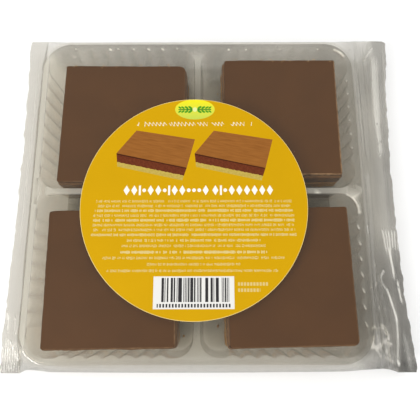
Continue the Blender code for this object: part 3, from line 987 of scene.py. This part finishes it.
class FilmShape:
    """Where the film runs: flat over the rim, drawn tight to a crimp at each end and to a soft crease along
    the sides, and back under the tray."""

    def __init__(self, settings):
        sleeve_low, sleeve_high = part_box("film_sleeve")
        self.settings = settings
        self.plain = sleeve_high[0]
        self.far_edge = sleeve_high[1] - 0.1 * MM
        self.top = sleeve_high[2] - 0.15 * MM
        self.bottom = sleeve_low[2] + 0.15 * MM
        self.crimp = settings.crimp_height
        left = -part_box("film_end_left")[0][0] - settings.crimp_width
        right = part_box("film_end_right")[1][0] - settings.crimp_width
        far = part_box("film_end_right")[1][1]
        self.half = far - settings.crimp_shift
        self.ends = {-1: (left - settings.left_ears, settings.left_ears)}
        self.ends[1] = (right - settings.right_ears, settings.right_ears)
        self.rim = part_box("tray")[1][0] + 0.25 * MM
        turn = 2 * math.pi / FILM_DIRECTIONS
        self.directions = [(math.cos(k * turn), math.sin(k * turn)) for k in range(FILM_DIRECTIONS)]
        outline = [self.plan(side, step / 10, 1.0) for side in (-1, 1) for step in range(-10, 11)]
        self.outer = [max(dx * x + dy * y for x, y in outline) for dx, dy in self.directions]
        self.inner = {True: self.reach(self.rim), False: self.reach(self.rim - 3.0 * MM)}
        self.crimp_shares = {}

    def reach(self, half):
        """How far a square with round corners reaches in each direction."""
        corner = 15 * MM
        return [(half - corner) * (abs(dx) + abs(dy)) + corner for dx, dy in self.directions]

    def share(self, x, y, upper):
        """0 on the rim or foot of the tray and 1 at the outer crease, on a sheet drawn straight between."""
        middle = round(math.atan2(y, x) / (2 * math.pi) * FILM_DIRECTIONS)
        spread = FILM_DIRECTIONS // 7
        inner = self.inner[upper]
        best = 0.0
        for step in range(middle - spread, middle + spread + 1):
            k = step % FILM_DIRECTIONS
            dx, dy = self.directions[k]
            beyond = dx * x + dy * y - inner[k]
            if beyond > 0.0:
                best = max(best, beyond / (self.outer[k] - inner[k]))
        return best

    def bulge(self, across, x):
        """How far the film stands out along the far or near side. The near side draws in towards its ends."""
        return self.far_edge if across > 0 else self.settings.near_bulge - 1.1 * MM * (x / (85 * MM)) ** 2

    def plan(self, side, across, along):
        """Point in plan. across runs from -1 at the near crease to 1 at the far crease. along is 0 at the end
        of the plain stretch, 1 at the crimp's inner line, and above 1 on the crimp."""
        line, ears = self.ends[side]
        power = 3.0 if side > 0 and across < 0 else 2.0
        inner = line + ears * abs(across) ** power
        part = min(along, 1.0)
        over = max(0.0, along - 1.0)
        torn = Vector((side * 5.0, across * 11.0, 0.0))
        ragged = (lumps(torn, 1.0, 3) * 0.5 + round(lumps(torn, 0.6, 2) * 2.5) * 0.25) * MM
        nipped = ease((abs(across) - 0.985) / 0.015) * (2.4 if side > 0 and across > 0.9 else 0.3) * MM
        x = self.plain + (inner - self.plain) * part + over * (self.settings.crimp_width + ragged - nipped)
        bulge = self.bulge(across, self.plain)
        waist = math.sin(math.pi * part**1.5) * (2.2 if across < 0 else 0.6) * MM
        half = bulge + (self.half - bulge) * part - waist
        shift = self.settings.crimp_shift * part
        return side * x, shift + half * across

    def sag(self, side, y, part):
        """Height of the crimp line there: it waves and its ears hang."""
        wave = lumps(Vector((side * 3.0, y / (34 * MM), 0.0)), 1.0, 2) * 1.1
        ear = ease((-y - 70 * MM) / (24 * MM)) * 2.4
        return self.crimp + (wave - ear) * MM * ease(part)

    def height(self, side, x, y, across, along, upper):
        """Height of the film's upper or lower sheet."""
        middle = self.sag(side, y, along)
        if along >= 1.0:
            return middle + (0.06 * MM if upper else -0.06 * MM) * (abs(across) < 0.999)
        key = side, round(across, 5), upper
        if key not in self.crimp_shares:
            self.crimp_shares[key] = self.share(*self.plan(side, across, 1.0), upper)
        share = min(1.0, self.share(x, y, upper) / self.crimp_shares[key]) if abs(across) < 1.0 else 1.0
        end = 1.25 if side > 0 else 0.95
        gathered = 1.0 + (end - 1.0) * ease((0.95 - abs(across)) / 0.2)
        steep = 1.15 if across > 0 else 0.75
        bend = steep + (gathered - steep) * ease(along * 1.5)
        level = self.top if upper else self.bottom
        return middle + (level - middle) * (1 - share) ** bend


FILM_DIRECTIONS = 144  # round the compass, in which the film's tight sheet is measured
CREASES = (  # lines from x, y to x, y, with height and width, in mm
    (92.4, -41.0, 97.7, -63.9, 0.9, 0.8), (97.7, -63.9, 97.6, -84.4, 0.8, 0.8),
    (83.3, 79.6, 85.3, 83.3, 0.6, 0.8), (92.6, 80.9, 96.9, 86.0, 0.8, 0.9),
    (83.0, 72.0, 96.0, 80.0, -0.7, 1.6), (92.4, 81.0, 94.4, 53.8, 0.9, 1.5),
    (94.4, 53.8, 94.6, 20.0, 1.0, 1.5), (87.6, 67.9, 88.9, 29.5, 0.6, 1.0),
    (90.6, 72.0, 91.6, 24.0, -0.8, 1.2), (92.0, 14.0, 91.4, -24.0, 0.8, 1.6),
    (88.6, 10.0, 87.4, -50.0, -0.7, 1.4), (88.5, -55.0, 92.0, -78.0, -0.8, 1.6),
    (-94.1, -70.8, -87.4, -83.6, 0.7, 0.7), (-96.2, -59.2, -94.6, -68.5, 0.6, 0.8),
    (-86.0, -58.0, -88.5, -76.0, 0.5, 0.9), (-78.0, -82.0, -90.0, -88.0, 0.6, 1.1),
    (-79.0, 82.0, -89.0, 91.0, 0.7, 1.2), (-88.6, 70.0, -89.6, -60.0, 0.5, 1.1),
)
PAINTED_HIGHLIGHT_LINES = (  # painted highlights where the film's creases catch light: lines from x, y to x, y, with strength and width, in mm
    (102.5, 83.0, 101.6, 47.0, 0.4, 1.7), (101.6, 47.0, 102.0, 26.0, 0.34, 1.3),
    (101.2, 84.0, 100.5, 47.1, 0.14, 0.4), (100.5, 47.1, 101.5, 25.0, 0.18, 0.4),
    (104.4, 82.9, 103.0, 47.0, 0.12, 0.5), (108.6, 89.5, 107.6, 62.6, 0.2, 0.4),
    (107.6, 62.6, 106.5, 40.9, 0.16, 0.4), (102.9, 91.7, 100.6, 88.9, 0.35, 0.6),
    (100.6, 88.9, 97.2, 83.7, 0.4, 0.7), (87.8, 9.9, 87.6, 6.1, 0.5, 0.45),
    (87.5, 1.6, 87.4, -2.9, 0.5, 0.45), (98.5, -17.9, 99.7, -29.1, 0.6, 0.35),
    (100.1, -17.9, 100.7, -28.7, 0.6, 0.3), (101.6, -18.2, 101.9, -28.2, 0.75, 0.35),
    (103.3, -17.9, 103.2, -26.9, 0.75, 0.35), (104.8, -18.4, 104.5, -27.8, 0.65, 0.3),
    (106.4, -18.4, 105.9, -28.2, 0.6, 0.3), (107.7, -19.3, 107.2, -29.1, 0.4, 0.3),
    (101.3, -28.2, 102.6, -42.2, 0.85, 0.5), (104.1, -44.8, 105.2, -55.0, 0.75, 0.45),
    (97.5, -39.2, 95.1, -42.4, 0.6, 0.5), (95.1, -42.4, 95.9, -45.7, 0.35, 0.5),
    (95.9, -45.7, 98.7, -49.9, 0.45, 0.45), (98.7, -49.9, 101.7, -63.4, 0.75, 0.5),
    (101.7, -63.4, 101.6, -72.4, 0.5, 0.5), (101.6, -72.4, 100.9, -83.6, 0.35, 0.5),
    (100.9, -84.4, 101.9, -86.4, 0.8, 0.6), (104.9, -72.0, 107.6, -88.0, 0.16, 1.0),
    (84.6, -18.0, 85.2, -22.0, 0.4, 0.5), (-97.7, -59.9, -96.9, -63.7, 0.8, 0.45),
    (-96.8, -62.2, -96.5, -69.1, 0.7, 0.5), (-96.7, -73.1, -94.2, -75.6, 0.7, 0.5),
    (-94.2, -75.6, -92.5, -79.9, 0.6, 0.4), (-92.5, -79.9, -90.8, -83.6, 0.7, 0.5),
    (-97.1, -75.6, -97.4, -88.4, 0.35, 0.35), (-96.1, -76.2, -95.5, -87.8, 0.35, 0.35),
    (-95.0, -76.8, -94.0, -87.2, 0.3, 0.35), (-93.9, -78.1, -91.8, -86.6, 0.3, 0.35),
    (-93.5, -62.4, -92.3, -71.2, 0.4, 0.4), (-89.2, 62.0, -90.2, -40.0, 0.12, 0.9),
    (-93.4, 74.0, -94.6, -20.0, 0.12, 0.7),
)


def along_lines(lines, x, y):
    """Adds up soft lines at a place in plan."""
    total = 0.0
    here = Vector((x / MM, y / MM))
    for x0, y0, x1, y1, strength, width in lines:
        start = Vector((x0, y0))
        run = Vector((x1, y1)) - start
        along = (here - start).dot(run) / run.length_squared
        if not -0.2 < along < 1.2:
            continue
        off = (here - start - run * along).length / width
        if off < 3.0:
            fade = ease((along + 0.2) / 0.35) * ease((1.2 - along) / 0.35)
            total += strength * math.exp(-off * off) * fade
    return total


def film_painted_shade(point):
    """Painted shade: the slack end of the film, its right fin and the near side have nothing bright under
    them, so the film is painted darker there, and a little over the left end.
    """
    beside = 0.27 * ease((-point.y - 83 * MM) / (3 * MM)) + 0.05 * ease((-point.x - 80 * MM) / (4 * MM))
    right = ease((point.x - 80 * MM) / (8 * MM))
    fin = 0.22 * ease((point.x - 101 * MM) / (3 * MM))
    patchy = 0.17 + lumps(Vector((point.x, point.y * 0.3, 0.0)), 9 * MM, 2) * 0.12
    return fin + beside + right * (patchy + 0.25 * ease((-point.y - 10 * MM) / (40 * MM)))


# painted highlights on the film where its creases catch light; none on the sheet under the pack
def film_painted_highlight(point):
    return along_lines(PAINTED_HIGHLIGHT_LINES, point.x, point.y) if point.z > 6 * MM else 0.0


class PACK_OT_film(bpy.types.Operator):
    """Adds the clear film with its crimped ends, side creases and wrinkles"""

    bl_idname = "shortbread.film"
    bl_label = "Film"

    def execute(self, context):
        settings = context.scene.shortbread.film
        shape = FilmShape(settings)
        rows = [(-1, 1.0 + step / 34) for step in range(34, 0, -1)]
        rows += [(-1, step / 26) for step in range(26, 0, -1)]
        rows += [(0, -1.0 + step / 27) for step in range(0, 55)]
        rows += [(1, step / 84) for step in range(1, 85)]
        rows += [(1, 1.0 + step / 34) for step in range(1, 35)]
        side_steps = 7
        flat_steps = 150
        brink = 0.955
        shares = [brink * (2 * step / flat_steps - 1) for step in range(flat_steps + 1)]
        turns = [math.pi / 2 * step / side_steps for step in range(1, side_steps + 1)]
        rounds = [brink + (1 - brink) * math.sin(turn) for turn in turns]
        upper = [-share for share in rounds[::-1]] + shares + rounds
        ring = [(share, True) for share in upper] + [(share, False) for share in upper[-2:0:-1]]

        def on_film(station, row):
            across, above = ring[station]
            zone, along = row
            if zone == 0:
                side, part = (1 if along > 0 else -1), 0.0
                x = shape.plain * along
                y = shape.bulge(across, x) * across
            else:
                side, part = zone, along
                x, y = shape.plan(side, across, along)
            z = shape.height(side, x, y, across, part, above)
            here = Vector((x, y, 0.0 if above else 1.0))
            if part >= 1.0:
                fin = (part - 1.0) * settings.crimp_width
                ribs = math.sin(2 * math.pi * fin / settings.rib_pitch) * settings.rib_height
                z += ribs * ease(fin / MM) + lumps(here, 7 * MM) * 0.25 * MM
                return Vector((x, y, z))
            z += self.wrinkle(shape, side, x, y, part, above, here)
            return Vector((x, y, z))

        bm = bmesh.new()
        sweep(bm, len(ring), rows, on_film)
        bmesh.ops.recalc_face_normals(bm, faces=bm.faces)
        plastic = clear_plastic("clear_film", settings.tint, settings.edge_tint, 0.018, 0.06, 0.05, 6 * MM)
        nodes = ["film_sleeve", "film_end_left", "film_end_right"]
        # painted shade and painted highlights on the film
        painted = {"dusk": film_painted_shade, "glare": film_painted_highlight}
        add_piece("wrapping_film", bm, plastic, nodes, False, 60.0, painted)
        return {"FINISHED"}

    def wrinkle(self, shape, side, x, y, part, above, here):
        """How much the film stands out of its even shape."""
        if not above:
            creased = lumps(here, 3.4 * MM, 3) * 0.55 * ease((x - 78 * MM) / (6 * MM))
            return (lumps(here, 11 * MM) * 0.25 + creased) * MM * ease(part * 2)
        loose = ease(shape.share(x, y, True) * 5)
        over_rim = 1.0 - loose
        taut = max(0.0, lumps(here, 24 * MM)) * 0.12 * MM * over_rim
        slack = 0.55 if side > 0 else 0.3
        long_folds = lumps(Vector((x * 2.6, y * 0.16, 0.0)), 7 * MM, 3) * slack * MM
        corner = ease((x - 80 * MM) / (6 * MM)) * ease((-y - 58 * MM) / (8 * MM))
        crumple = lumps(here, 3.2 * MM, 3) * (0.16 + 0.2 * corner) * MM * slack
        quiet = ease((1 - part) * 6) if part > 0 else 1.0
        creased = along_lines(CREASES, x, y) * MM
        return taut + (long_folds + crumple) * loose * quiet + creased * (loose * 0.85 + 0.15)


class PACK_OT_back_seam(bpy.types.Operator):
    """Adds the seam that closes the film's two long edges, folded flat under the pack"""

    bl_idname = "shortbread.back_seam"
    bl_label = "Back seam"

    def execute(self, context):
        settings = context.scene.shortbread.film
        low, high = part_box("film_back_seam")
        size = Vector(high) - Vector(low)
        bm = bmesh.new()
        made = bmesh.ops.create_grid(bm, x_segments=220, y_segments=56, size=0.5)["verts"]
        bmesh.ops.scale(bm, vec=(size.x, size.y, 1.0), verts=made)
        for vert in made:
            ribs = math.sin(2 * math.pi * vert.co.y / settings.rib_pitch) * 0.05 * MM
            vert.co.z = low[2] + 0.13 * MM + ribs + lumps(vert.co, 12 * MM) * 0.03 * MM
        bmesh.ops.translate(bm, vec=((low[0] + high[0]) / 2, 0.0, 0.0), verts=made)
        plastic = clear_plastic("seam_film", settings.tint, settings.edge_tint, 0.14, 0.065, 0.12, 4 * MM)
        add_piece("back_seam_fin", bm, plastic, ["film_back_seam"], closed=False)
        return {"FINISHED"}


# Label


class PACK_OT_label(bpy.types.Operator):
    """Adds the round printed label"""

    bl_idname = "shortbread.label"
    bl_label = "Label"

    def execute(self, context):
        settings = context.scene.shortbread.label
        low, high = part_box("label")
        middle = Vector(((low[0] + high[0]) / 2, (low[1] + high[1]) / 2))
        radius = (high[0] - low[0]) / 2
        rows = [(0.0, 0.6), (0.0, 0.995), (0.3, 1.0), (0.8, 1.0), (1.0, 0.9985)]
        rows += [(1.0, share) for share in (0.99, 0.96, 0.9, 0.8, 0.68, 0.55, 0.42, 0.3, 0.18, 0.08)]
        count = 256

        def on_label(station, row):
            share, reach = row
            angle = 2 * math.pi * station / count
            x = middle.x + radius * reach * math.cos(angle)
            y = middle.y + radius * reach * math.sin(angle)
            lift = lumps(Vector((x, y, 0.0)), 30 * MM, 2) * 0.05 * MM
            return Vector((x, y, low[2] + share * (high[2] - low[2]) + lift))

        bm = bmesh.new()
        first, last = sweep(bm, count, rows, on_label)
        close(bm, first)
        close(bm, last)
        add_piece("round_label", bm, label_finish(settings, middle, radius), ["label"])
        return {"FINISHED"}


# Stage


def add_lamp(name, place, size, power, tone, mirrored=False):
    """A square lamp that faces the pack. Only a mirrored one shows as a glint on shiny surfaces."""
    lamp = bpy.data.lights.new(name, "AREA")
    lamp.size = size
    lamp.energy = power
    lamp.color = tone
    holder = bpy.data.objects.new(name, lamp)
    holder.location = place
    holder.rotation_euler = (-Vector(place)).to_track_quat("-Z", "Y").to_euler()
    holder.visible_glossy = mirrored
    bpy.context.scene.collection.objects.link(holder)


def add_room():
    """A room with pale walls and a dim ceiling."""
    world = bpy.data.worlds.new("soft_room")
    world.use_nodes = True
    nodes, links = world.node_tree.nodes, world.node_tree.links
    direction = nodes.new("ShaderNodeTexCoord")
    split = nodes.new("ShaderNodeSeparateXYZ")
    ramp = nodes.new("ShaderNodeValToRGB")
    set_stops(ramp.color_ramp, ROOM_TONES)
    links.new(direction.outputs["Generated"], split.inputs[0])
    links.new(split.outputs["Z"], ramp.inputs[0])
    links.new(ramp.outputs[0], nodes["Background"].inputs["Color"])
    bpy.context.scene.world = world


ROOM_TONES = (  # from the horizon up
    (0.0, (0.9, 0.92, 0.94, 1.0)),
    (0.35, (0.7, 0.72, 0.74, 1.0)),
    (0.7, (0.18, 0.19, 0.2, 1.0)),
    (1.0, (0.08, 0.08, 0.09, 1.0)),
)


class PACK_OT_stage(bpy.types.Operator):
    """Adds the floor, the soft lights and the camera"""

    bl_idname = "shortbread.stage"
    bl_label = "Stage"

    def execute(self, context):
        settings = context.scene.shortbread.stage
        bm = bmesh.new()
        bmesh.ops.create_grid(bm, x_segments=2, y_segments=2, size=4.0)
        mesh = bpy.data.meshes.new("floor")
        bm.to_mesh(mesh)
        bm.free()
        mesh.materials.append(floor_finish(settings))
        floor = bpy.data.objects.new("floor", mesh)
        context.scene.collection.objects.link(floor)
        add_room()
        add_lamp("ceiling_lamp", (0.0, 0.0, 1.2), 1.6, 16.2, (1.0, 0.99, 0.97))
        add_lamp("window_lamp", (-0.72, -0.56, 0.8), 0.4, 4.7, (1.0, 0.98, 0.94), mirrored=True)
        context.scene.view_settings.view_transform = "Standard"
        lens = bpy.data.cameras.new("photo_camera")
        lens.sensor_fit = "HORIZONTAL"
        lens.angle = settings.field_of_view
        lens.clip_start = 0.01
        camera = bpy.data.objects.new("photo_camera", lens)
        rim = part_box("tray")[1][2]
        camera.location = (6.43 * MM, -57.74 * MM, rim + 209.88 * MM)
        turn = Matrix.Rotation(settings.tilt, 4, "X") @ Matrix.Rotation(settings.roll, 4, "Z")
        camera.rotation_euler = turn.to_euler()
        context.scene.collection.objects.link(camera)
        context.scene.camera = camera
        return {"FINISHED"}


PIECES = (
    PACK_OT_tray,
    PACK_OT_shortbread,
    PACK_OT_caramel,
    PACK_OT_chocolate,
    PACK_OT_crumbs,
    PACK_OT_film,
    PACK_OT_back_seam,
    PACK_OT_label,
    PACK_OT_stage,
)


class PACK_PT_pieces(bpy.types.Panel):
    """Lists the pieces of the pack"""

    bl_label = "Shortbread pack"
    bl_idname = "PACK_PT_pieces"
    bl_space_type = "VIEW_3D"
    bl_region_type = "UI"
    bl_category = "Shortbread"

    def draw(self, context):
        for piece in PIECES:
            self.layout.operator(piece.bl_idname)
        for group in ("tray", "squares", "film", "label", "stage"):
            settings = getattr(context.scene.shortbread, group)
            box = self.layout.box()
            for name in settings.bl_rna.properties.keys():
                if name not in ("rna_type", "name"):
                    box.prop(settings, name)


GROUPS = (TraySettings, SquareSettings, FilmSettings, LabelSettings, StageSettings, PackSettings)


def register():
    for group in (*GROUPS, *PIECES, PACK_PT_pieces):
        bpy.utils.register_class(group)
    bpy.types.Scene.shortbread = PointerProperty(type=PackSettings)


def unregister():
    del bpy.types.Scene.shortbread
    for group in reversed((*GROUPS, *PIECES, PACK_PT_pieces)):
        bpy.utils.unregister_class(group)


def main():
    register()
    for piece in PIECES:
        group, name = piece.bl_idname.split(".")
        getattr(getattr(bpy.ops, group), name)()


if __name__ == "__main__":
    main()
